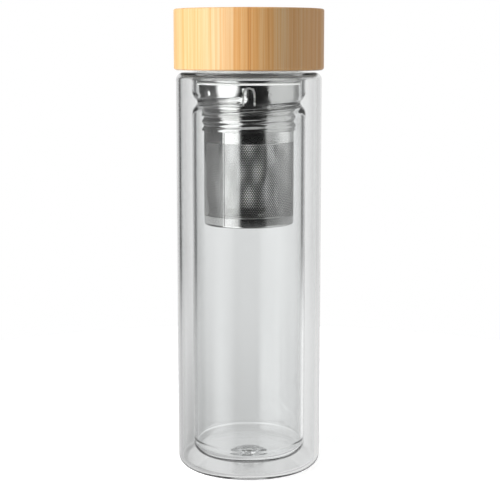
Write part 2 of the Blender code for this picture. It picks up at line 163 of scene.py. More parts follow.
def holdFlats(points, loop):
    # a ring close to where a long flat meets a fine curve keeps the flat's shading straight
    count = len(points)
    held = []
    for i, here in enumerate(points):
        held.append(here)
        if i == count - 1 and not loop:
            break
        after = points[(i + 1) % count]
        length = math.dist(here, after)
        before = math.dist(points[i - 1], here) if loop or i > 0 else length
        beyond = math.dist(after, points[(i + 2) % count]) if loop or i + 2 < count else length
        for gap, share in ((before, before / max(length, tiny)), (beyond, 1.0 - beyond / max(length, tiny))):
            if tiny < gap < length / 4:
                held.append((here[0] + (after[0] - here[0]) * share, here[1] + (after[1] - here[1]) * share))
    return held


def turnPiece(name, points, material, segments=192, loop=False, shift=None):
    # points are (radius, height) and run down the outer side; a loop closes on itself
    points = holdFlats(points, loop)
    verts = []
    rows = []
    for radius, z in points:
        if radius < tiny:
            rows.append([len(verts)] * segments)
            verts.append((0.0, 0.0, z))
            continue
        rows.append(list(range(len(verts), len(verts) + segments)))
        for j in range(segments):
            angle = math.tau * j / segments
            r = radius + (shift(radius, angle, z) if shift else 0.0)
            verts.append((r * math.cos(angle), r * math.sin(angle), z))
    pairs = list(zip(rows[:-1], rows[1:]))
    if loop:
        pairs.append((rows[-1], rows[0]))
    faces = []
    for upper, lower in pairs:
        for j in range(segments):
            k = (j + 1) % segments
            corners = [upper[j], lower[j], lower[k], upper[k]]
            faces.append([c for i, c in enumerate(corners) if c not in corners[:i]])
    mesh = bpy.data.meshes.new(name)
    mesh.from_pydata(verts, [], faces)
    mesh.validate()
    return addPiece(name, mesh, material)


def applyModifiers(piece, sharpAngle=sharpDegrees):
    graph = bpy.context.evaluated_depsgraph_get()
    mesh = bpy.data.meshes.new_from_object(piece.evaluated_get(graph))
    piece.modifiers.clear()
    old = piece.data
    piece.data = mesh
    bpy.data.meshes.remove(old)
    shadeMesh(mesh, sharpAngle)


# Thread formulas, the same as the solids follow

def threadDip(angle, z):
    turns = threadSizes["starts"] * (math.tau * (z - threadSizes["middle"]) / threadSizes["lead"] - angle)
    return 0.5 + 0.5 * math.cos(turns)


def grooveReach(angle, z):
    # angle along its own helix of the nearest groove, from the middle of a lug at rest
    rise = (z - threadSizes["middle"]) / threadSizes["lead"]
    turns = threadSizes["starts"] * (rise - angle / math.tau)
    return math.tau * (rise - (turns - round(turns)) / threadSizes["starts"])


def skirtDip(angle, z):
    return 0.5 + 0.5 * math.cos(math.tau * (z - skirtBase) / collarSizes["skirtPitch"] - angle)


# Shader helpers

def newMaterial(name):
    material = bpy.data.materials.new(name)
    material.use_nodes = True
    tree = material.node_tree
    return material, tree.nodes, tree.links, tree.nodes["Principled BSDF"]


def mathNode(nodes, links, operation, first, second=None, third=None):
    node = nodes.new("ShaderNodeMath")
    node.operation = operation
    for socket, value in zip(node.inputs, (first, second, third)):
        if value is None:
            continue
        if isinstance(value, (int, float)):
            socket.default_value = value
        else:
            links.new(value, socket)
    return node.outputs[0]


def rampNode(nodes, links, factor, stops):
    node = nodes.new("ShaderNodeValToRGB")
    ramp = node.color_ramp
    while len(ramp.elements) < len(stops):
        ramp.elements.new(0.5)
    for element, (place, colour) in zip(ramp.elements, stops):
        element.position = place
        element.color = (*colour, 1.0)
    links.new(factor, node.inputs["Fac"])
    return node.outputs["Color"]


def groupTree(name, inputs, outputs):
    tree = bpy.data.node_groups.new(name, "ShaderNodeTree")
    for label, kind, value in inputs:
        socket = tree.interface.new_socket(name=label, in_out="INPUT", socket_type=kind)
        socket.default_value = value
    for label, kind in outputs:
        tree.interface.new_socket(name=label, in_out="OUTPUT", socket_type=kind)
    start = tree.nodes.new("NodeGroupInput")
    end = tree.nodes.new("NodeGroupOutput")
    return tree, tree.nodes, tree.links, start, end


def makeTurnedGrainGroup():
    # fine rings left by turning or rolling, in object coordinates
    tree, nodes, links, start, end = groupTree(
        "turnedGrain",
        [
            ("Along", "NodeSocketFloat", 3000.0),
            ("Around", "NodeSocketFloat", 4.0),
            ("Detail", "NodeSocketFloat", 3.0),
        ],
        [("Mask", "NodeSocketFloat")],
    )
    calc = partial(mathNode, nodes, links)
    place = nodes.new("ShaderNodeTexCoord")
    split = nodes.new("ShaderNodeSeparateXYZ")
    links.new(place.outputs["Object"], split.inputs[0])
    x, y, z = split.outputs
    angle = calc("ARCTAN2", y, x)
    radius = calc("SQRT", calc("ADD", calc("MULTIPLY", x, x), calc("MULTIPLY", y, y)))
    join = nodes.new("ShaderNodeCombineXYZ")
    links.new(calc("MULTIPLY", calc("SINE", angle), start.outputs["Around"]), join.inputs[0])
    links.new(calc("MULTIPLY", calc("ADD", radius, z), start.outputs["Along"]), join.inputs[1])
    links.new(calc("MULTIPLY", calc("COSINE", angle), start.outputs["Around"]), join.inputs[2])
    noise = nodes.new("ShaderNodeTexNoise")
    noise.inputs["Scale"].default_value = 1.0
    links.new(join.outputs[0], noise.inputs["Vector"])
    links.new(start.outputs["Detail"], noise.inputs["Detail"])
    links.new(noise.outputs["Fac"], end.inputs["Mask"])
    return tree


def makeSmudgeGroup():
    # soft uneven patches, such as handling leaves on steel, glass and silicone
    tree, nodes, links, start, end = groupTree(
        "smudges",
        [
            ("Scale", "NodeSocketFloat", 60.0),
            ("Low", "NodeSocketFloat", 0.4),
            ("High", "NodeSocketFloat", 0.7),
        ],
        [("Mask", "NodeSocketFloat")],
    )
    place = nodes.new("ShaderNodeTexCoord")
    noise = nodes.new("ShaderNodeTexNoise")
    noise.inputs["Detail"].default_value = 5.0
    noise.inputs["Roughness"].default_value = 0.6
    links.new(place.outputs["Object"], noise.inputs["Vector"])
    links.new(start.outputs["Scale"], noise.inputs["Scale"])
    span = nodes.new("ShaderNodeMapRange")
    links.new(noise.outputs["Fac"], span.inputs["Value"])
    links.new(start.outputs["Low"], span.inputs["From Min"])
    links.new(start.outputs["High"], span.inputs["From Max"])
    links.new(span.outputs["Result"], end.inputs["Mask"])
    return tree


turnedGrain = makeTurnedGrainGroup()
smudges = makeSmudgeGroup()


def useGroup(nodes, tree, values):
    node = nodes.new("ShaderNodeGroup")
    node.node_tree = tree
    for label, value in values.items():
        node.inputs[label].default_value = value
    return node.outputs["Mask"]


def mapValue(nodes, links, mask, low, high):
    node = nodes.new("ShaderNodeMapRange")
    node.inputs["To Min"].default_value = low
    node.inputs["To Max"].default_value = high
    links.new(mask, node.inputs["Value"])
    return node.outputs["Result"]


def addBump(nodes, links, shader, height, distance):
    node = nodes.new("ShaderNodeBump")
    node.inputs["Distance"].default_value = distance
    links.new(height, node.inputs["Height"])
    links.new(node.outputs["Normal"], shader.inputs["Normal"])


def axisDistance(nodes, links, place):
    flat = nodes.new("ShaderNodeVectorMath")
    flat.operation = "MULTIPLY"
    flat.inputs[1].default_value = (1.0, 1.0, 0.0)
    links.new(place, flat.inputs[0])
    length = nodes.new("ShaderNodeVectorMath")
    length.operation = "LENGTH"
    links.new(flat.outputs[0], length.inputs[0])
    return length.outputs["Value"]


def mixColours(nodes, links, factor, first, second):
    node = nodes.new("ShaderNodeMix")
    node.data_type = "RGBA"
    for socket, value in ((node.inputs[0], factor), (node.inputs[6], first), (node.inputs[7], second)):
        if isinstance(value, (int, float)):
            socket.default_value = value
        elif isinstance(value, tuple):
            socket.default_value = (*value, 1.0)
        else:
            links.new(value, socket)
    return node.outputs[2]


# Materials

steelLook = {
    "base": (0.8, 0.8, 0.79),
    "dull": (0.7, 0.7, 0.69),
    "roughness": (0.07, 0.16),
    "along": 2600.0,
    "around": 3.0,
    "grainShare": 0.6,
    "patchScale": 45.0,
    "patchShare": 0.4,
    "bump": 0.000003,
}

# the mesh is duller, and duller still on its inner face
meshLook = {
    "roughness": (0.1, 0.2),
    "insideRadius": wallBox[1][0] - 0.15 * mm,
    "insideRoughness": 0.5,
}


def makeSteel(name, look):
    material, nodes, links, shader = newMaterial(name)
    calc = partial(mathNode, nodes, links)
    shader.inputs["Metallic"].default_value = 1.0
    rings = useGroup(nodes, turnedGrain, {"Along": look["along"], "Around": look["around"]})
    patches = useGroup(nodes, smudges, {"Scale": look["patchScale"]})
    links.new(mixColours(nodes, links, patches, look["base"], look["dull"]), shader.inputs["Base Color"])
    mixed = calc("MULTIPLY_ADD", patches, look["patchShare"], calc("MULTIPLY", rings, look["grainShare"]))
    roughness = mapValue(nodes, links, mixed, *look["roughness"])
    if "insideRadius" in look:
        place = nodes.new("ShaderNodeTexCoord")
        reach = axisDistance(nodes, links, place.outputs["Object"])
        inside = calc("LESS_THAN", reach, look["insideRadius"])
        roughness = calc("MAXIMUM", roughness, calc("MULTIPLY", inside, look["insideRoughness"]))
    links.new(roughness, shader.inputs["Roughness"])
    addBump(nodes, links, shader, rings, look["bump"])
    return material


glassLook = {
    "tint": (0.985, 0.99, 0.99),
    "ior": 1.47,
    "roughness": (0.0, 0.012),
    "patches": {"Scale": 30.0, "Low": 0.5, "High": 0.8},
    "wave": 0.00004,
    "waveScale": 22.0,
    "absorb": (0.6, 0.62, 0.62),
    "density": 5.0,
}


def makeGlass():
    look = glassLook
    material, nodes, links, shader = newMaterial("clearGlass")
    shader.inputs["Base Color"].default_value = (*look["tint"], 1.0)
    shader.inputs["Transmission Weight"].default_value = 1.0
    shader.inputs["IOR"].default_value = look["ior"]
    patches = useGroup(nodes, smudges, look["patches"])
    links.new(mapValue(nodes, links, patches, *look["roughness"]), shader.inputs["Roughness"])
    place = nodes.new("ShaderNodeTexCoord")
    wave = nodes.new("ShaderNodeTexNoise")
    wave.inputs["Scale"].default_value = look["waveScale"]
    wave.inputs["Detail"].default_value = 1.0
    links.new(place.outputs["Object"], wave.inputs["Vector"])
    addBump(nodes, links, shader, wave.outputs["Fac"], look["wave"])
    volume = nodes.new("ShaderNodeVolumeAbsorption")
    volume.inputs["Color"].default_value = (*look["absorb"], 1.0)
    volume.inputs["Density"].default_value = look["density"]
    links.new(volume.outputs[0], nodes["Material Output"].inputs["Volume"])
    return material


bambooLook = {
    "pale": (0.82, 0.60, 0.335),
    "honey": (0.76, 0.385, 0.125),
    "dark": (0.5, 0.2, 0.065),
    # where each glued board ends along X, and its tone: a higher one is darker; the darker tones towards +X
    # are partly painted shade for the side turned away from the key light
    "boardTonesAndShade": [
        (-36.0 * mm, 0.05), (-20.0 * mm, 0.0), (-7.0 * mm, -0.01), (-0.6 * mm, 0.12), (1.0 * mm, 0.22),
        (10.0 * mm, 0.09), (18.0 * mm, 0.04), (27.0 * mm, 0.07), (40.0 * mm, 0.08),
    ],
    "boardJoint": 0.2 * mm,
    "span": 40.0 * mm,
    "plyDepth": 6.0 * mm,
    "plyShare": 0.06,
    # scales across and along the grain
    "streakScale": (850.0, 7.0),
    "streakDetail": 4.0,
    "streakShare": 0.35,
    "fibreScale": (2900.0, 21.0),
    "fibreDetail": 2.0,
    "fibreShare": 0.42,
    "toneStops": (0.4, 0.64, 0.9),
    "roughness": (0.32, 0.5),
    "bump": 0.00004,
    "coat": 0.15,
    "coatRoughness": 0.3,
}


def woodNoise(nodes, links, place, scale, detail):
    across, along = scale
    stretch = nodes.new("ShaderNodeMapping")
    stretch.inputs["Scale"].default_value = (across, across, along)
    links.new(place.outputs["Object"], stretch.inputs["Vector"])
    noise = nodes.new("ShaderNodeTexNoise")
    noise.inputs["Scale"].default_value = 1.0
    noise.inputs["Detail"].default_value = detail
    links.new(stretch.outputs[0], noise.inputs["Vector"])
    return noise.outputs["Fac"]


def makeBamboo():
    look = bambooLook
    material, nodes, links, shader = newMaterial("bamboo")
    calc = partial(mathNode, nodes, links)
    place = nodes.new("ShaderNodeTexCoord")
    split = nodes.new("ShaderNodeSeparateXYZ")
    links.new(place.outputs["Object"], split.inputs[0])
    # glued boards stand upright, and each has its own tone, partly real and partly painted shade that
    # darkens the boards towards +X
    across = calc("MULTIPLY_ADD", split.outputs["X"], 0.5 / look["span"], 0.5)
    stops = []
    begin = -look["span"]
    for finish, level in look["boardTonesAndShade"]:
        for x in (begin + look["boardJoint"], finish - look["boardJoint"]):
            stops.append((0.5 + 0.5 * x / look["span"], (level + 0.5,) * 3))
        begin = finish
    # painted shade: the boards towards +X are set darker than their own tone, and the rest of this ramp is
    # the boards' real tone
    boardToneAndShade = rampNode(nodes, links, across, stops)
    cell = nodes.new("ShaderNodeCombineXYZ")
    links.new(calc("FLOOR", calc("DIVIDE", split.outputs["Y"], look["plyDepth"])), cell.inputs[1])
    ply = nodes.new("ShaderNodeTexWhiteNoise")
    ply.noise_dimensions = "3D"
    links.new(cell.outputs[0], ply.inputs["Vector"])
    # fibres run along the height, so the pattern hardly changes with Z
    streak = woodNoise(nodes, links, place, look["streakScale"], look["streakDetail"])
    fibre = woodNoise(nodes, links, place, look["fibreScale"], look["fibreDetail"])
    grain = calc("MULTIPLY_ADD", fibre, look["fibreShare"], boardToneAndShade)
    grain = calc("MULTIPLY_ADD", streak, look["streakShare"], grain)
    middle = (look["streakShare"] + look["fibreShare"]) / 2
    mixed = calc("MULTIPLY_ADD", ply.outputs["Value"], look["plyShare"], calc("SUBTRACT", grain, middle))
    tones = zip(look["toneStops"], (look["pale"], look["honey"], look["dark"]))
    links.new(rampNode(nodes, links, mixed, list(tones)), shader.inputs["Base Color"])
    links.new(mapValue(nodes, links, fibre, *look["roughness"]), shader.inputs["Roughness"])
    addBump(nodes, links, shader, mixed, look["bump"])
    shader.inputs["Coat Weight"].default_value = look["coat"]
    shader.inputs["Coat Roughness"].default_value = look["coatRoughness"]
    return material


mouldedLook = {
    "patches": {"Scale": 120.0},
    "skin": {"Along": 1500.0, "Around": 20.0},
}

siliconeLook = {
    "colour": (0.84, 0.84, 0.82),
    "shade": (0.78, 0.78, 0.76),
    "roughness": (0.38, 0.55),
    "bump": 0.000004,
}

insertLook = {
    "colour": (0.8, 0.8, 0.78),
    "shade": (0.74, 0.74, 0.72),
    "roughness": (0.25, 0.4),
    "bump": 0.000003,
}


def makeMoulded(name, look):
    # silicone and plastic: faint patches and a very fine skin
    material, nodes, links, shader = newMaterial(name)
    patches = useGroup(nodes, smudges, mouldedLook["patches"])
    skin = useGroup(nodes, turnedGrain, mouldedLook["skin"])
    links.new(mixColours(nodes, links, patches, look["colour"], look["shade"]), shader.inputs["Base Color"])
    links.new(mapValue(nodes, links, skin, *look["roughness"]), shader.inputs["Roughness"])
    addBump(nodes, links, shader, skin, look["bump"])
    return material


steel = makeSteel("polishedSteel", steelLook)
meshSteel = makeSteel("perforatedSteel", {**steelLook, **meshLook})
glass = makeGlass()
bamboo = makeBamboo()
silicone = makeMoulded("whiteSilicone", siliconeLook)
mouldedPlastic = makeMoulded("mouldedInsert", insertLook)
print("materials made")


# Glass

glassSizes = {
    "segments": 256,
    "shellWall": 2.0 * mm,
    "flaskWall": 1.8 * mm,
    "flaskFloor": 2.2 * mm,
    "footRadius": 4.8 * mm,
    "shoulderRadius": 3.5 * mm,
    "lipRadius": 1.2 * mm,
    "flaskCorner": 5.0 * mm,
    "puntRadius": 8.6 * mm,
    "puntSlope": 0.9 * mm,
    "puntDepth": 1.4 * mm,
    "ventRadius": 2.5 * mm,
    "beadRadius": 1.2 * mm,
    "fuseSwell": 0.2 * mm,
    "fuseHeight": 2.4 * mm,
    "cornerSteps": 12,
}

lugSizes = {
    "width": 1.75 * mm,
    "outsideWidth": 2.6 * mm,
    "outsideDepth": 2.45 * mm,
    "reach": 6.4 * mm,
    "window": math.radians(62),
    "windowFade": math.radians(20),
    "step": 0.4 * mm,
}

glassBore = flaskRadius - glassSizes["flaskWall"]


def lugShare(angle, z, width):
    side = (angle + math.pi / 2) % math.pi - math.pi / 2
    window = 1.0 - smoothStep(abs(side), lugSizes["window"], lugSizes["window"] + lugSizes["windowFade"])
    off = z - threadSizes["middle"] - threadSizes["lead"] * side / math.tau
    return window * math.exp(-((off / width) ** 2))


def flaskShift(radius, angle, z):
    if abs(z - threadSizes["middle"]) > lugSizes["reach"]:
        return 0.0
    if glassBore + glassSizes["flaskWall"] / 2 < radius < flaskRadius + glassSizes["flaskWall"] / 2:
        return -lugSizes["outsideDepth"] * lugShare(angle, z, lugSizes["outsideWidth"])
    if radius < glassBore + glassSizes["flaskWall"] / 2:
        depth = glassBore - (collarRadius - threadSizes["depth"] + threadSizes["play"])
        return -depth * lugShare(angle, z, lugSizes["width"])
    return 0.0


def makeGlassBody():
    size = glassSizes
    steps = size["cornerSteps"]
    neckLow = threadSizes["middle"] - lugSizes["reach"]
    neckHigh = threadSizes["middle"] + lugSizes["reach"]
    floorTop = flaskBase + size["flaskFloor"]
    inCorner = size["flaskCorner"] - size["flaskWall"]
    lip = size["lipRadius"]
    top = rimHeight
    wall = size["shellWall"]
    # inner face from the middle of the floor up to the rim
    points = [(0.0, floorTop)]
    points += arcPoints(glassBore - inCorner, floorTop + inCorner, inCorner, -90, 0, steps)
    for k in range(1, steps):
        swell = size["fuseSwell"] * math.sin(math.pi * k / steps) ** 2
        points.append((glassBore - swell, floorTop + inCorner + size["fuseHeight"] * k / steps))
    points += [(glassBore, z) for z in evenHeights(neckLow, neckHigh, lugSizes["step"])]
    points += arcPoints(glassBore + lip, top - lip, lip, 180, 90, steps)
    # outer face down to the punt, and the hole for the plug
    shoulder = size["shoulderRadius"]
    points += arcPoints(glassRadius - shoulder, top - shoulder, shoulder, 90, 0, steps)
    foot = size["footRadius"]
    points += arcPoints(glassRadius - foot, foot, foot, 0, -90, steps)
    points += [(size["puntRadius"] + size["puntSlope"], 0.0), (size["puntRadius"], size["puntDepth"])]
    points += [(size["ventRadius"], size["puntDepth"]), (size["ventRadius"], size["puntDepth"] + wall)]
    # back up between the two walls, and down round the flask
    bead = size["beadRadius"]
    points += arcPoints(size["puntRadius"] - bead, size["puntDepth"] + wall, bead, 180, 0, steps)
    points += [(size["puntRadius"] + size["puntSlope"], wall)]
    innerFoot = foot - wall
    points += arcPoints(glassRadius - foot, wall + innerFoot, innerFoot, -90, 0, steps)
    bend = shoulder - wall
    points += arcPoints(glassRadius - shoulder, top - shoulder, bend, 0, 90, steps)
    points += arcPoints(flaskRadius + bend, top - wall - bend, bend, 90, 180, steps)
    points += [(flaskRadius, z) for z in evenHeights(neckHigh, neckLow, lugSizes["step"])]
    corner = size["flaskCorner"]
    points += arcPoints(flaskRadius - corner, flaskBase + corner, corner, 0, -90, steps)
    points.append((0.0, flaskBase))
    body = turnPiece("glassBody", points, glass, size["segments"], shift=flaskShift)
    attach(body, "bottle")
    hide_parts("outer_shell", "inner_flask")


ventSizes = {
    "segments": 64,
    "gap": 0.02 * mm,
    "edge": 0.25 * mm,
    "edgeSteps": 5,
}


def makeVentPlug():
    size = ventSizes
    edge, steps = size["edge"], size["edgeSteps"]
    stem = glassSizes["ventRadius"] - size["gap"]
    seat = glassSizes["puntDepth"] - size["gap"]
    head = ventBox[1][0]
    base, top = ventBox[0][2], ventBox[1][2]
    points = [(0.0, top), *arcPoints(stem - edge, top - edge, edge, 90, 0, steps), (stem, seat)]
    points += [(head, seat), *arcPoints(head - edge, base + edge, edge, 0, -90, steps), (0.0, base)]
    plug = turnPiece("ventPlug", points, silicone, size["segments"])
    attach(plug, "bottle")
    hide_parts("base_vent_plug")


makeGlassBody()
makeVentPlug()
print("glass made")


# Collar

def dimpleLift(angle, z):
    size = collarSizes
    reach = size["dimpleRadius"]
    lift = 0.0
    for i in range(size["dimples"]):
        middle = size["dimpleFirstAngle"] + math.tau * i / size["dimples"]
        side = (angle - middle + math.pi) % math.tau - math.pi
        away = math.hypot(side * collarRadius, z - (rimHeight - size["dimpleDrop"]))
        lift += size["dimpleHeight"] * (1.0 - smoothStep(away, reach / 4, reach))
    return lift


def tongueLift(angle, z):
    size = collarSizes
    side = (angle + math.pi / 2 + math.pi) % math.tau - math.pi
    if abs(side) * collarRadius > size["tongueWidth"] / 2 + size["tongueSlot"] / 2:
        return 0.0
    base = rimHeight - size["tongueDrop"]
    head = base + size["tongueHeight"]
    if z > head - size["tongueSlot"] / 2:
        return 0.0
    across = side * collarRadius / (size["tongueWidth"] / 2 + size["tongueSlot"] / 2)
    return size["tongueLift"] * smoothStep(z, base - size["tongueFade"], head) * (1.0 - across * across)


def collarShift(radius, angle, z):
    size = collarSizes
    if z > skirtTop + size["stepHeight"] / 2:
        end = size["grooveEnd"]
        keep = 1.0 - smoothStep(z, threadTop - threadSizes["fade"], threadTop)
        keep *= 1.0 - smoothStep(grooveReach(angle, z), end, end + size["grooveEndFade"])
        root = 1.0 - smoothStep(z, threadBase, threadBase + threadSizes["fade"])
        dip = threadDip(angle, z)
        shift = -threadSizes["depth"] * keep * (dip + (1.0 - dip) * root)
        if z < flangeTop - size["flangeThickness"]:
            shift += dimpleLift(angle, z) + tongueLift(angle, z)
        return shift
    keep = smoothStep(z, skirtBase, skirtBase + size["skirtFade"])
    keep *= 1.0 - smoothStep(z, skirtTop - size["skirtFade"], skirtTop)
    return -size["skirtDepth"] * keep * skirtDip(angle, z)


def makeTongueCutter():
    # the arched slot round the tongue, cut through the front of the collar
    size = collarSizes
    steps = size["archSteps"]
    reach = size["cutterReach"]
    near = size["tongueWidth"] / 2
    far = near + size["tongueSlot"]
    base = rimHeight - size["tongueDrop"]
    spring = base + size["tongueHeight"] - far
    outline = [(far, base), *arcPoints(0.0, spring, far, 0, 180, steps), (-far, base)]
    outline += [(-near, base), *arcPoints(0.0, spring, near, 180, 0, steps), (near, base)]
    cutter = bmesh.new()
    verts = [cutter.verts.new((x, -collarRadius - reach, z)) for x, z in outline]
    face = cutter.faces.new(verts)
    pushed = bmesh.ops.extrude_face_region(cutter, geom=[face])
    moved = [v for v in pushed["geom"] if isinstance(v, bmesh.types.BMVert)]
    bmesh.ops.translate(cutter, verts=moved, vec=(0.0, 2 * reach, 0.0))
    bmesh.ops.triangulate(cutter, faces=cutter.faces)
    bmesh.ops.recalc_face_normals(cutter, faces=cutter.faces)
    mesh = bpy.data.meshes.new("tongueCutter")
    cutter.to_mesh(mesh)
    cutter.free()
    return addPiece("tongueCutter", mesh, steel)


def makeCollar():
    size = collarSizes
    inner = collarRadius - size["sheet"]
    flangeBase = flangeTop - size["flangeThickness"]
    edge, steps = size["flangeRound"], size["edgeSteps"]
    step = threadSizes["step"]
    points = [(inner + edge, flangeTop)]
    points += arcPoints(flangeRadius - edge, flangeTop - edge, edge, 90, 0, steps)
    points += arcPoints(flangeRadius - edge, flangeBase + edge, edge, 0, -90, steps)
    neckAndThread = evenHeights(flangeBase, threadBase, step)
    skirt = evenHeights(skirtTop, skirtBase, step)
    points += [(collarRadius, z) for z in neckAndThread]
    points += [(skirtRadius, z) for z in skirt]
    points += [(skirtRadius - size["sheet"], z) for z in reversed(skirt)]
    points += [(inner, z) for z in reversed(neckAndThread)]
    points += arcPoints(inner + edge, flangeTop - edge, edge, 180, 100, steps)
    collar = turnPiece("infuserCollar", points, steel, size["segments"], loop=True, shift=collarShift)
    cutter = makeTongueCutter()
    cut = collar.modifiers.new("slot", "BOOLEAN")
    cut.operation = "DIFFERENCE"
    cut.object = cutter
    applyModifiers(collar, size["sharpAngle"])
    bpy.data.objects.remove(cutter)
    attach(collar, "infuser")
    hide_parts("infuser_collar")


sealSizes = {
    "gap": 0.02 * mm,
    "press": 0.25 * mm,
    "edge": 0.4 * mm,
    "gasketWidth": 3.3 * mm,
    "gasketEdge": 0.6 * mm,
    "edgeSteps": 5,
}


def makeSiliconeRing(name, inner, outer, base, top, edge, body, node):
    steps = sealSizes["edgeSteps"]
    points = arcPoints(outer - edge, top - edge, edge, 90, 0, steps)
    points += arcPoints(outer - edge, base + edge, edge, 0, -90, steps)
    points += arcPoints(inner + edge, base + edge, edge, 270, 180, steps)
    points += arcPoints(inner + edge, top - edge, edge, 180, 90, steps)
    ring = turnPiece(name, points, silicone, loop=True)
    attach(ring, body)
    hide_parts(node)


makeCollar()
makeSiliconeRing(
    "collarSeal", collarRadius + sealSizes["gap"], sealBox[1][0],
    sealBox[0][2], sealBox[1][2] + sealSizes["press"], sealSizes["edge"],
    "infuser_carrier", "collar_seal",
)
print("collar made")


# Lid

lidSizes = {
    "segments": 256,
    "edge": 0.9 * mm,
    "recessMargin": 6.0 * mm,
    "recessDepth": 12.0 * mm,
    "plugWall": 1.8 * mm,
    "plugThreadLength": 9.2 * mm,
    "plugTopWall": 2.5 * mm,
    "discThickness": 0.6 * mm,
    "discLip": 2.5 * mm,
    "headEdge": 0.4 * mm,
    "linerRadius": 35.0 * mm,
    "linerThickness": 0.3 * mm,
    "fit": 0.3 * mm,
    "edgeSteps": 8,
    "linerSteps": 6,
    "smallSteps": 4,
}

plugCrest = collarRadius - collarSizes["sheet"] - threadSizes["play"]
plugRoot = plugCrest - threadSizes["depth"]
plugBase = plugBox[0][2]


def makeCap():
    size = lidSizes
    top, base = capBox[1][2], capBox[0][2]
    edge, steps = size["edge"], size["edgeSteps"]
    recess = capRadius - size["recessMargin"]
    ceiling = base + size["recessDepth"]
    points = [(0.0, top), *arcPoints(capRadius - edge, top - edge, edge, 90, 0, steps)]
    points += arcPoints(capRadius - edge, base + edge, edge, 0, -90, steps)
    points += arcPoints(recess + edge / 2, base + edge / 2, edge / 2, 270, 180, size["smallSteps"])
    points += [(recess, ceiling), (0.0, ceiling)]
    cap = turnPiece("bambooCap", points, bamboo, size["segments"])
    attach(cap, "lid")
    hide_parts("bamboo_cap")


def plugShift(radius, angle, z):
    end = plugBase + lidSizes["plugThreadLength"]
    if radius < plugCrest - lidSizes["fit"] or z > end + lidSizes["fit"]:
        return 0.0
    keep = smoothStep(z, plugBase, plugBase + threadSizes["fade"])
    keep *= 1.0 - smoothStep(z, end - threadSizes["fade"], end)
    return -threadSizes["depth"] * (1.0 - (1.0 - threadDip(angle, z)) * keep)


def makePlug():
    # from its head in the cap, over the thin liner under the cap, to the thread and the hollow inside
    size = lidSizes
    fit = size["fit"]
    head, headTop = plugBox[1][0], plugBox[1][2]
    capBase = capBox[0][2]
    liner, rim = size["linerRadius"], size["linerThickness"] / 2
    shoulder, edge = flangeRadius - fit, size["headEdge"]
    neck = gasketBox[1][0] - sealSizes["gasketWidth"] - fit
    press, neckBase = gasketBox[1][2] + fit, gasketBox[0][2] - fit
    threadEnd = plugBase + size["plugThreadLength"]
    bore, ceiling = plugRoot - size["plugWall"], headTop - size["plugTopWall"]
    points = [(0.0, headTop), (head, headTop), (head, capBase + fit)]
    points += [(head, capBase), *arcPoints(liner, capBase - rim, rim, 90, -90, size["linerSteps"])]
    points += [(shoulder, capBase - 2 * rim)]
    points += arcPoints(shoulder - edge, press + edge, edge, 0, -90, size["smallSteps"])
    points += [(neck, press), (neck, neckBase), (plugRoot, neckBase)]
    points += [(plugCrest, z) for z in evenHeights(threadEnd, plugBase, threadSizes["step"])]
    points += [(bore, plugBase), (bore, ceiling), (0.0, ceiling)]
    plug = turnPiece("lidPlug", points, mouldedPlastic, shift=plugShift)
    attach(plug, "lid")
    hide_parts("lid_plug")


def makeLidDisc():
    size = lidSizes
    wall = size["discThickness"]
    lip = plugRoot - size["plugWall"] - size["fit"]
    rim = discBox[1][0]
    base, seat = discBox[0][2], discBox[0][2] + wall
    top = seat + size["discLip"]
    edge = wall / 2
    points = [(0.0, seat), (lip - wall, seat), (lip - wall, top), (lip, top), (lip, seat)]
    points += [*arcPoints(rim - edge, seat - edge, edge, 90, -90, size["edgeSteps"]), (0.0, base)]
    disc = turnPiece("lidDisc", points, steel)
    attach(disc, "lid")
    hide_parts("lid_disc")


makeCap()
makePlug()
makeLidDisc()
makeSiliconeRing(
    "lidGasket", gasketBox[1][0] - sealSizes["gasketWidth"], gasketBox[1][0],
    gasketBox[0][2], gasketBox[1][2], sealSizes["gasketEdge"],
    "lid_carrier", "lid_gasket",
)
print("lid made")


# Basket

basketSizes = {
    "segments": 256,
    "sheet": 0.35 * mm,
    "topBand": 5.3 * mm,
    "bandEdge": 0.1 * mm,
    "bandEdgeSteps": 3,
    "ringThreadLength": 6.1 * mm,
    "ringWall": 0.75 * mm,
    "sleeveGap": 0.05 * mm,
    "fit": 0.3 * mm,
    # hoop at the foot
    "footWall": 0.4 * mm,
    "footLip": 2.2 * mm,
    "footEdge": 1.0 * mm,
    "footEdgeSteps": 8,
    "turnGap": 0.03 * mm,
    # fine holes
    "columns": 126,
    "rows": 43,
    "holeRadius": 0.365 * mm,
    "holeSides": 6,
    "inset": 0.01 * mm,
    "weld": 0.02 * mm,
    "floorPitch": 1.07 * mm,
    "floorRim": 3.0 * mm,
    "floorSkin": 0.02 * mm,
    # weld down the rolled sheet, and how the sheet bends beside it
    "seamAngle": math.radians(-121.6),
    "seamBend": math.radians(13),
    "seamRelax": math.radians(60),
    "seamSpring": 0.16 * mm,
    "seamHollow": 0.22 * mm,
    "seamWidth": 0.9 * mm,
    "seamHeight": 0.2 * mm,
    "seamRoot": 0.1 * mm,
    "seamEnd": 0.4 * mm,
    "seamSteps": 8,
    # slight waves: times round, radians a metre of height, start
    "waves": ((13, 190.0, 0.0), (5, -90.0, 1.3), (23, -60.0, 0.0)),
    "thirdWave": 0.6,
    "waveHeight": 0.045 * mm,
    "waveFade": 5.0 * mm,
}

basketRadius = wallBox[1][0]
meshTop = wallBox[1][2] - basketSizes["topBand"]
meshBase = wallBox[0][2]
ringCrest = skirtRadius - collarSizes["sheet"] - threadSizes["play"]
ringRoot = ringCrest - collarSizes["skirtDepth"]


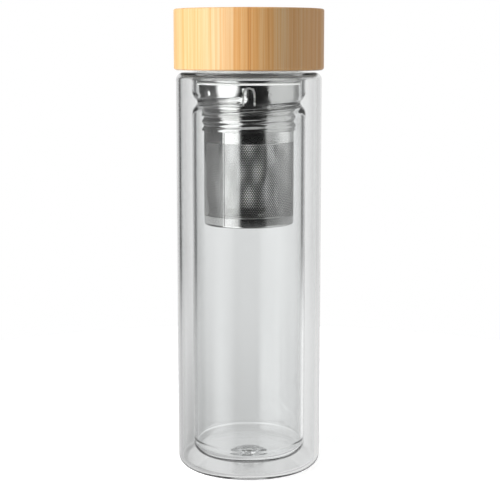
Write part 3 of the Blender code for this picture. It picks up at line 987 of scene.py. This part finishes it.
def makeTile(name, width, height):
    # one land of the sheet with its small hole, open at its border, facing -Y
    size = basketSizes
    sides = size["holeSides"]
    border = [(0.5, 0.5), (0.0, 0.5), (-0.5, 0.5), (-0.5, -0.5), (0.0, -0.5), (0.5, -0.5)]
    tile = bmesh.new()
    loops = []
    for y in (0.0, size["sheet"]):
        outer = [tile.verts.new((x * width, y, z * height)) for x, z in border]
        hole = []
        for i in range(sides):
            a = math.tau * (i + 0.5) / sides
            x, z = size["holeRadius"] * math.cos(a), size["holeRadius"] * math.sin(a)
            hole.append(tile.verts.new((x, y, z)))
        edges = []
        for ring in (outer, hole):
            edges += [tile.edges.new((ring[i], ring[(i + 1) % len(ring)])) for i in range(len(ring))]
        bmesh.ops.bridge_loops(tile, edges=edges)
        loops.append(hole)
    front, back = loops
    for i in range(sides):
        j = (i + 1) % sides
        tile.faces.new((front[i], front[j], back[j], back[i]))
    bmesh.ops.recalc_face_normals(tile, faces=tile.faces)
    mesh = bpy.data.meshes.new(name)
    tile.to_mesh(mesh)
    tile.free()
    return addPiece(name, mesh, meshSteel)


def nodeTree(name, inputs):
    tree = bpy.data.node_groups.new(name, "GeometryNodeTree")
    tree.interface.new_socket(name="Geometry", in_out="OUTPUT", socket_type="NodeSocketGeometry")
    tree.interface.new_socket(name="Geometry", in_out="INPUT", socket_type="NodeSocketGeometry")
    for label, kind in inputs:
        tree.interface.new_socket(name=label, in_out="INPUT", socket_type=kind)
    return tree, tree.nodes, tree.links, tree.nodes.new("NodeGroupInput"), tree.nodes.new("NodeGroupOutput")


def setInputs(modifier, values):
    sockets = {s.name: s.identifier for s in modifier.node_group.interface.items_tree if s.in_out == "INPUT"}
    for label, value in values.items():
        modifier[sockets[label]] = value


def makePerforatedTree(isTube):
    # tiles on staggered rows, round a tube or across a disc, welded into one sheet
    inputs = [
        ("Columns", "NodeSocketInt"), ("Rows", "NodeSocketInt"), ("Radius", "NodeSocketFloat"),
        ("Base", "NodeSocketFloat"), ("Pitch", "NodeSocketFloat"), ("Row Pitch", "NodeSocketFloat"),
        ("Weld", "NodeSocketFloat"), ("Tile", "NodeSocketObject"), ("Material", "NodeSocketMaterial"),
    ]
    tree, nodes, links, start, end = nodeTree("perforatedTube" if isTube else "perforatedDisc", inputs)
    calc = partial(mathNode, nodes, links)
    sockets = start.outputs
    spots = nodes.new("GeometryNodePoints")
    links.new(calc("MULTIPLY", sockets["Columns"], sockets["Rows"]), spots.inputs["Count"])
    index = nodes.new("GeometryNodeInputIndex").outputs[0]
    column = calc("FLOORED_MODULO", index, sockets["Columns"])
    row = calc("FLOOR", calc("DIVIDE", index, sockets["Columns"]))
    along = calc("ADD", column, calc("MULTIPLY", calc("FLOORED_MODULO", row, 2.0), 0.5))
    place = nodes.new("ShaderNodeCombineXYZ")
    turn = nodes.new("ShaderNodeCombineXYZ")
    if isTube:
        angle = calc("MULTIPLY", along, calc("DIVIDE", math.tau, sockets["Columns"]))
        x = calc("MULTIPLY", calc("SINE", angle), sockets["Radius"])
        y = calc("MULTIPLY", calc("MULTIPLY", calc("COSINE", angle), sockets["Radius"]), -1.0)
        z = calc("MULTIPLY_ADD", calc("ADD", row, 0.5), sockets["Row Pitch"], sockets["Base"])
        links.new(angle, turn.inputs[2])
    else:
        middle = calc("MULTIPLY", sockets["Columns"], 0.5)
        middleRow = calc("MULTIPLY", sockets["Rows"], 0.5)
        x = calc("MULTIPLY", calc("SUBTRACT", along, middle), sockets["Pitch"])
        y = calc("MULTIPLY", calc("SUBTRACT", row, middleRow), sockets["Row Pitch"])
        z = sockets["Base"]
        turn.inputs[0].default_value = math.radians(90)
    for socket, value in zip(place.inputs, (x, y, z)):
        links.new(value, socket)
    move = nodes.new("GeometryNodeSetPosition")
    links.new(spots.outputs[0], move.inputs["Geometry"])
    links.new(place.outputs[0], move.inputs["Position"])
    source = move.outputs[0]
    if not isTube:
        spot = nodes.new("GeometryNodeInputPosition").outputs[0]
        away = calc("GREATER_THAN", axisDistance(nodes, links, spot), sockets["Radius"])
        drop = nodes.new("GeometryNodeDeleteGeometry")
        links.new(source, drop.inputs["Geometry"])
        links.new(away, drop.inputs["Selection"])
        source = drop.outputs[0]
    info = nodes.new("GeometryNodeObjectInfo")
    links.new(sockets["Tile"], info.inputs["Object"])
    toRotation = nodes.new("FunctionNodeEulerToRotation")
    links.new(turn.outputs[0], toRotation.inputs[0])
    copy = nodes.new("GeometryNodeInstanceOnPoints")
    links.new(source, copy.inputs["Points"])
    links.new(info.outputs["Geometry"], copy.inputs["Instance"])
    links.new(toRotation.outputs[0], copy.inputs["Rotation"])
    real = nodes.new("GeometryNodeRealizeInstances")
    links.new(copy.outputs[0], real.inputs[0])
    weld = nodes.new("GeometryNodeMergeByDistance")
    links.new(real.outputs[0], weld.inputs["Geometry"])
    links.new(sockets["Weld"], weld.inputs["Distance"])
    paint = nodes.new("GeometryNodeSetMaterial")
    links.new(weld.outputs[0], paint.inputs["Geometry"])
    links.new(sockets["Material"], paint.inputs["Material"])
    links.new(paint.outputs[0], end.inputs[0])
    return tree


def closeRims(mesh, rims):
    # join the front and back edges of the sheet along each open rim, told by its height
    sheet = bmesh.new()
    sheet.from_mesh(mesh)
    for isRim in rims:
        edges = [e for e in sheet.edges if e.is_boundary and isRim(e.verts[0].co.z)]
        bmesh.ops.bridge_loops(sheet, edges=edges)
    bmesh.ops.recalc_face_normals(sheet, faces=sheet.faces)
    sheet.to_mesh(mesh)
    sheet.free()


def makePerforated(name, isTube, values, tile, rims, body, node):
    sheet = addPiece(name, bpy.data.meshes.new(name), meshSteel)
    build = sheet.modifiers.new("holes", "NODES")
    build.node_group = makePerforatedTree(isTube)
    setInputs(build, {**values, "Weld": basketSizes["weld"], "Tile": tile, "Material": meshSteel})
    applyModifiers(sheet)
    closeRims(sheet.data, rims)
    bpy.data.objects.remove(tile)
    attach(sheet, body)
    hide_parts(node)
    print(name, "has", len(sheet.data.polygons), "faces")
    return sheet


def seamLift(radius, angle, z):
    # left of its weld the rolled sheet springs out a little, then runs inside the true circle
    size = basketSizes
    away = (size["seamAngle"] - angle + math.pi) % math.tau - math.pi
    if away < 0.0 or away > size["seamRelax"]:
        return 0.0
    if away < size["seamBend"]:
        share = 1.0 - away / size["seamBend"]
        return -size["seamHollow"] + (size["seamSpring"] + size["seamHollow"]) * share * share
    return -size["seamHollow"] * (1.0 - smoothStep(away, size["seamBend"], size["seamRelax"]))


def footShift(radius, angle, z):
    return seamLift(radius, angle, z) if radius > basketRadius - basketSizes["footEdge"] / 2 else 0.0


def sheetWave(angle, z):
    # thin sheet is never quite true; still at its ends, where the hoops hold it
    size = basketSizes
    hold = smoothStep(z, meshBase, meshBase + size["waveFade"])
    hold *= 1.0 - smoothStep(z, meshTop - size["waveFade"], meshTop)
    first, second, third = (
        math.sin(turns * angle + rise * z + begin) for turns, rise, begin in size["waves"]
    )
    return size["waveHeight"] * hold * (first * second + size["thirdWave"] * third)


def bendSheet(mesh):
    for vertex in mesh.vertices:
        radius = math.hypot(vertex.co.x, vertex.co.y)
        angle = math.atan2(vertex.co.y, vertex.co.x)
        reach = radius + seamLift(radius, angle, vertex.co.z) + sheetWave(angle, vertex.co.z)
        vertex.co.x = reach * math.cos(angle)
        vertex.co.y = reach * math.sin(angle)


def makeBasketWall():
    size = basketSizes
    rowPitch = (meshTop - meshBase) / size["rows"]
    pitch = 2.0 * basketRadius * math.tan(math.pi / size["columns"])
    tile = makeTile("wallTile", pitch, rowPitch)
    middle = (meshTop + meshBase) / 2
    values = {
        "Columns": size["columns"], "Rows": size["rows"], "Radius": basketRadius - size["inset"],
        "Base": meshBase, "Row Pitch": rowPitch,
    }
    rims = [lambda z: z > middle, lambda z: z < middle]
    wall = makePerforated("basketMesh", True, values, tile, rims, "basket", "basket_wall")
    bendSheet(wall.data)


def makeSeam(name, top, base, body):
    # weld bead down the lap of the rolled sheet
    size = basketSizes
    bead = bmesh.new()
    half, root = size["seamWidth"] / 2, size["seamRoot"]
    rows = []
    for z in (top, base):
        row = []
        for i in range(size["seamSteps"] + 1):
            share = 2 * i / size["seamSteps"] - 1
            angle = size["seamAngle"] + share * half / basketRadius
            swell = (root + size["seamHeight"]) * math.sqrt(1 - share * share)
            reach = basketRadius - root + swell
            row.append(bead.verts.new((reach * math.cos(angle), reach * math.sin(angle), z)))
        rows.append(row)
    upper, lower = rows
    for i in range(size["seamSteps"]):
        bead.faces.new((upper[i], lower[i], lower[i + 1], upper[i + 1]))
    bead.faces.new((upper[-1], lower[-1], lower[0], upper[0]))
    bead.faces.new(upper)
    bead.faces.new(lower[::-1])
    bmesh.ops.recalc_face_normals(bead, faces=bead.faces)
    mesh = bpy.data.meshes.new(name)
    bead.to_mesh(mesh)
    bead.free()
    seam = addPiece(name, mesh, steel)
    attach(seam, body)


def makeBasketBands():
    size = basketSizes
    top, outer = wallBox[1][2], basketRadius
    inner = outer - size["sheet"]
    edge = size["bandEdge"]
    points = [(inner, top), *arcPoints(outer - edge, top - edge, edge, 90, 0, size["bandEdgeSteps"])]
    points += [(outer, meshTop), (inner, meshTop)]
    band = turnPiece("basketTopBand", points, steel, size["segments"], loop=True, shift=seamLift)
    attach(band, "basket")
    inner = outer - size["footWall"]
    low = bandBox[0][2]
    edge = size["footEdge"]
    lip = inner - size["footLip"]
    head = meshBase - size["turnGap"]
    points = [(inner, head), (outer, head)]
    points += arcPoints(outer - edge, low + edge, edge, 0, -90, size["footEdgeSteps"])
    points += [(lip, low), (lip, low + size["footWall"]), (inner, low + size["footWall"])]
    foot = turnPiece("basketFootBand", points, steel, size["segments"], loop=True, shift=footShift)
    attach(foot, "basket_carrier")
    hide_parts("basket_foot_band")


def ringShift(radius, angle, z):
    size = basketSizes
    top = ringBox[1][2]
    base = top - size["ringThreadLength"]
    if radius < ringCrest - size["fit"] or z < base - size["fit"] / 2:
        return 0.0
    keep = smoothStep(z, base, base + collarSizes["skirtFade"])
    keep *= 1.0 - smoothStep(z, top - collarSizes["skirtFade"], top)
    return -collarSizes["skirtDepth"] * (1.0 - (1.0 - skirtDip(angle, z)) * keep)


def makeBasketRing():
    size = basketSizes
    top = ringBox[1][2]
    shoulder = top - size["ringThreadLength"]
    bore = ringRoot - size["ringWall"]
    sleeve = basketRadius - size["sheet"] - size["sleeveGap"]
    points = [(ringCrest, z) for z in evenHeights(top, shoulder, threadSizes["step"])]
    points += [(sleeve, shoulder - size["fit"]), (sleeve, meshTop), (bore, meshTop), (bore, top)]
    ring = turnPiece("basketRing", points, steel, loop=True, shift=ringShift)
    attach(ring, "basket")
    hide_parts("basket_ring")


def makeBasketFloor():
    size = basketSizes
    outer = floorBox[1][0]
    base, top = floorBox[0][2], floorBox[1][2]
    reach = outer - size["floorRim"]
    pitch = size["floorPitch"]
    rowPitch = pitch * math.sqrt(3) / 2
    count = 2 * math.ceil(outer / rowPitch)
    tile = makeTile("floorTile", pitch, rowPitch)
    values = {
        "Columns": count, "Rows": count, "Radius": reach + pitch, "Base": base,
        "Pitch": pitch, "Row Pitch": rowPitch,
    }
    makePerforated("basketFloorMesh", False, values, tile, [lambda z: True], "basket", "basket_floor")
    skin = size["floorSkin"]
    points = [(reach, top + skin), (outer, top + skin), (outer, base - skin), (reach, base - skin)]
    rim = turnPiece("basketFloorRim", points, steel, loop=True)
    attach(rim, "basket")


makeBasketWall()
makeSeam("basketSeam", wallBox[1][2] - basketSizes["seamEnd"], meshBase, "basket")
makeSeam(
    "footSeam", meshBase - basketSizes["turnGap"], bandBox[0][2] + basketSizes["footEdge"], "basket_carrier",
)
makeBasketBands()
makeBasketRing()
makeBasketFloor()
print("basket made")


# Stage, light and camera

floorLook = {
    "radius": 0.32,
    "segments": 96,
    "drop": 0.05 * mm,
    "colour": (0.82, 0.82, 0.82),
    "glow": 0.7,
}


def makeFloor():
    look = floorLook
    floor = bmesh.new()
    bmesh.ops.create_circle(floor, cap_ends=True, segments=look["segments"], radius=look["radius"])
    bmesh.ops.translate(floor, verts=floor.verts, vec=(0.0, 0.0, -look["drop"]))
    mesh = bpy.data.meshes.new("studioFloor")
    floor.to_mesh(mesh)
    floor.free()
    material, nodes, links, shader = newMaterial("paleFloor")
    nodes.remove(shader)
    calc = partial(mathNode, nodes, links)
    rays = nodes.new("ShaderNodeLightPath").outputs
    matte = nodes.new("ShaderNodeBsdfDiffuse")
    matte.inputs["Color"].default_value = (*look["colour"], 1.0)
    glow = nodes.new("ShaderNodeEmission")
    links.new(calc("MULTIPLY", rays["Is Camera Ray"], look["glow"]), glow.inputs["Strength"])
    both = nodes.new("ShaderNodeAddShader")
    links.new(matte.outputs[0], both.inputs[0])
    links.new(glow.outputs[0], both.inputs[1])
    # mirrored in the steel or seen through the glass, the studio goes on below the floor
    clear = nodes.new("ShaderNodeBsdfTransparent")
    pick = nodes.new("ShaderNodeMixShader")
    links.new(calc("MAXIMUM", rays["Is Glossy Ray"], rays["Is Transmission Ray"]), pick.inputs[0])
    links.new(both.outputs[0], pick.inputs[1])
    links.new(clear.outputs[0], pick.inputs[2])
    links.new(pick.outputs[0], nodes["Material Output"].inputs["Surface"])
    addPiece("studioFloor", mesh, material)


# heights are the Z of a ray's direction, and each pair says where one tone ends and the next begins
studioLook = {
    "low": (-0.145, -0.23),  # walls, glassWalls and edgeWalls to their low rings
    "middle": (-0.078, -0.1),  # for steel inside the glass, walls to middleWalls
    "foot": (-0.115, -0.13),  # and on to footWalls
    "ribs": (-0.19, -0.26),  # and back to walls, which the ribs of the collar mirror
    "overhead": (0.55, 0.85),  # any ring to the plain light overhead
    "overheadLevel": 0.7,
    # clear faces that a ray passes: up to edgeFaces the outer wall alone, past clearFaces the steel too
    "edgeFaces": 3.5,
    "clearFaces": 7.5,
    # brightness of each ring round the bottle, by degrees from the camera's side, right is positive
    "rings": {
        "walls": [
            (-180, 0.75), (-160, 0.75), (-154, 0.0), (-80, 0.0), (-70, 1.8), (-28, 1.8), (-20, 0.0),
            (40, 0.0), (49, 0.85), (112, 0.85), (128, 0.34), (150, 0.34), (160, 0.75), (180, 0.75),
        ],
        "lowWalls": [
            (-180, 0.75), (-160, 0.75), (-150, 0.45), (-80, 0.35), (-70, 1.5), (-28, 1.5), (-20, 0.04),
            (40, 0.04), (49, 0.8), (112, 0.8), (128, 0.5), (150, 0.5), (160, 0.75), (180, 0.75),
        ],
        "middleWalls": [
            (-180, 0.75), (-160, 0.75), (-150, 0.6), (-92, 0.6), (-80, 0.9), (-70, 1.6), (-50, 1.6),
            (-28, 1.1), (-20, 0.0), (39, 0.0), (46, 1.4), (70, 1.4), (90, 1.4), (112, 1.2), (128, 0.6),
            (150, 0.45), (160, 0.75), (180, 0.75),
        ],
        "footWalls": [
            (-180, 0.75), (-160, 0.75), (-150, 0.55), (-92, 0.55), (-80, 0.8), (-70, 1.3), (-45, 1.3),
            (-28, 0.9), (-20, 0.0), (40, 0.0), (49, 0.15), (67, 0.2), (95, 0.35), (112, 0.42), (125, 0.42),
            (150, 0.45), (160, 0.75), (180, 0.75),
        ],
        # what the clear walls bend and mirror
        "glassWalls": [
            (-180, 0.85), (-160, 0.85), (-155, 0.6), (-151, 0.15), (-140, 0.12), (-125, 0.12),
            (125, 0.12), (140, 0.12), (150, 0.15), (155, 0.6), (160, 0.85), (180, 0.85),
        ],
        "lowGlassWalls": [
            (-180, 0.75), (-160, 0.7), (-155, 0.45), (-140, 0.5), (-125, 0.5), (125, 0.5), (142, 0.8),
            (150, 1.2), (156, 1.1), (162, 0.8), (180, 0.75),
        ],
        # the same for the outer wall's own edge
        "edgeWalls": [
            (-180, 0.85), (-160, 0.85), (-155, 0.7), (-151, 0.12), (-140, 0.1), (-125, 0.12), (125, 0.12),
            (135, 0.55), (150, 0.75), (160, 0.85), (180, 0.85),
        ],
        "lowEdgeWalls": [
            (-180, 0.75), (-160, 0.75), (-155, 0.6), (-140, 0.55), (-125, 0.5), (125, 0.5), (142, 0.8),
            (150, 0.85), (162, 0.8), (180, 0.75),
        ],
    },
    # grey behind the clear glass, level and downward, what its left and right add to the downward one,
    # and the X at which they begin and end
    "seenThrough": (0.93, 0.66),
    "seenThroughFall": (-0.13, -0.33),
    "seenThroughSides": (-0.24, 0.16),
    "sides": (0.07, 0.13),
    "insideFill": 5.0,  # light on what lies inside the glass, where little gets in
    # share of the studio that lights matte surfaces, and more of it from the right
    "softShare": 0.62,
    "softRight": 0.25,
}


def easedStep(nodes, links, value, start, end):
    node = nodes.new("ShaderNodeMapRange")
    node.interpolation_type = "SMOOTHSTEP"
    node.inputs["From Min"].default_value = start
    node.inputs["From Max"].default_value = end
    links.new(value, node.inputs["Value"])
    return node.outputs[0]


def blend(nodes, links, share, first, second):
    rest = mathNode(nodes, links, "SUBTRACT", 1.0, share)
    kept = mathNode(nodes, links, "MULTIPLY", rest, first)
    return mathNode(nodes, links, "MULTIPLY_ADD", share, second, kept)


def makeWorld():
    look = studioLook
    world = bpy.data.worlds.new("studio")
    bpy.context.scene.world = world
    world.use_nodes = True
    nodes, links = world.node_tree.nodes, world.node_tree.links
    nodes.clear()
    calc = partial(mathNode, nodes, links)
    mix = partial(blend, nodes, links)
    ease = partial(easedStep, nodes, links)
    rays = nodes.new("ShaderNodeLightPath").outputs
    place = nodes.new("ShaderNodeTexCoord")
    split = nodes.new("ShaderNodeSeparateXYZ")
    links.new(place.outputs["Generated"], split.inputs[0])
    x, y, z = split.outputs
    angle = calc("ARCTAN2", x, calc("MULTIPLY", y, -1.0))
    share = calc("MULTIPLY_ADD", angle, 1.0 / math.tau, 0.5)
    top = max(level for _, level in look["rings"]["walls"])
    ring = {}
    for name, levels in look["rings"].items():
        stops = [((degrees + 180) / 360, (level / top,) * 3) for degrees, level in levels]
        ring[name] = calc("MULTIPLY", rampNode(nodes, links, share, stops), top)
    low = ease(z, *look["low"])
    outside = mix(low, ring["walls"], ring["lowWalls"])
    edge = mix(low, ring["edgeWalls"], ring["lowEdgeWalls"])
    clear = mix(low, ring["glassWalls"], ring["lowGlassWalls"])
    inner = mix(ease(z, *look["middle"]), ring["walls"], ring["middleWalls"])
    inner = mix(ease(z, *look["foot"]), inner, ring["footWalls"])
    inner = mix(ease(z, *look["ribs"]), inner, ring["walls"])
    # which of them a ray sees hangs on the clear faces it has passed
    passed = rays["Transmission Depth"]
    entered = calc("GREATER_THAN", passed, 0.5)
    clear = mix(calc("GREATER_THAN", passed, look["edgeFaces"]), edge, clear)
    solid = mix(calc("GREATER_THAN", passed, look["clearFaces"]), outside, inner)
    bent = calc("MULTIPLY", entered, calc("LESS_THAN", passed, look["clearFaces"]))
    studio = mix(ease(z, *look["overhead"]), mix(bent, solid, clear), look["overheadLevel"])
    # past the bottle the camera sees plain white, and through clear glass a plain grey
    seen = rays["Is Camera Ray"]
    direct = calc("SUBTRACT", 1.0, calc("MINIMUM", rays["Glossy Depth"], 1.0))
    through = calc("MULTIPLY", rays["Is Transmission Ray"], direct)
    rest = calc("SUBTRACT", 1.0, calc("MAXIMUM", seen, through))
    down = ease(z, *look["seenThroughFall"])
    near, far = look["sides"]
    left, right = ease(x, -near, -far), ease(x, near, far)
    leftTone, rightTone = look["seenThroughSides"]
    sides = calc("MULTIPLY_ADD", left, leftTone, calc("MULTIPLY", right, rightTone))
    grey = calc("ADD", mix(down, *look["seenThrough"]), calc("MULTIPLY", down, sides))
    grey = mix(calc("MINIMUM", rays["Diffuse Depth"], 1.0), grey, look["insideFill"])
    plain = calc("MULTIPLY_ADD", through, grey, seen)
    softer = calc("MULTIPLY_ADD", calc("MAXIMUM", x, 0.0), look["softRight"], look["softShare"] - 1.0)
    soft = calc("MULTIPLY_ADD", rays["Is Diffuse Ray"], softer, 1.0)
    strength = calc("MULTIPLY_ADD", studio, calc("MULTIPLY", rest, soft), plain)
    background = nodes.new("ShaderNodeBackground")
    background.inputs["Color"].default_value = (1.0, 1.0, 1.0, 1.0)
    links.new(strength, background.inputs["Strength"])
    output = nodes.new("ShaderNodeOutputWorld")
    links.new(background.outputs[0], output.inputs["Surface"])


keyLook = {
    "place": (-0.84, -0.39, 0.42),
    "target": (0.0, 0.0, 0.19),
    "size": 0.5,
    "power": 10.5,
}


def makeKeyLight():
    # soft light from the left, not mirrored in the steel or the glass
    look = keyLook
    light = bpy.data.lights.new("keyLight", "AREA")
    light.size = look["size"]
    light.energy = look["power"]
    lamp = bpy.data.objects.new("keyLight", light)
    lamp.location = look["place"]
    aim = Vector(look["target"]) - Vector(look["place"])
    lamp.rotation_euler = aim.to_track_quat("-Z", "Y").to_euler()
    lamp.visible_camera = False
    lamp.visible_glossy = False
    lamp.visible_transmission = False
    bpy.context.scene.collection.objects.link(lamp)


cameraFit = {
    "distance": 0.640,
    "height": 0.206,
    "tilt": math.radians(7.97),
    "focalPixels": 1322.0,
    "centrePixel": (248.9, 230.0),
    "framePixels": 500.0,
    "sensor": 36.0,
    "clip": (0.02, 20.0),
}


def makeCamera():
    fit = cameraFit
    data = bpy.data.cameras.new("camera")
    data.sensor_width = fit["sensor"]
    data.lens = fit["sensor"] * fit["focalPixels"] / fit["framePixels"]
    data.shift_x = (fit["framePixels"] / 2 - fit["centrePixel"][0]) / fit["framePixels"]
    data.shift_y = -(fit["framePixels"] / 2 - fit["centrePixel"][1]) / fit["framePixels"]
    data.clip_start, data.clip_end = fit["clip"]
    camera = bpy.data.objects.new("camera", data)
    camera.location = (0.0, -fit["distance"], fit["height"])
    camera.rotation_euler = (math.radians(90) - fit["tilt"], 0.0, 0.0)
    bpy.context.scene.collection.objects.link(camera)
    bpy.context.scene.camera = camera


makeFloor()
makeWorld()
makeKeyLight()
makeCamera()
renderLook = {
    "bounces": 24,
    "glossyBounces": 8,
}
scene = bpy.context.scene
scene.view_settings.view_transform = "Standard"
scene.cycles.max_bounces = renderLook["bounces"]
scene.cycles.transmission_bounces = renderLook["bounces"]
scene.cycles.glossy_bounces = renderLook["glossyBounces"]
print("stage made")
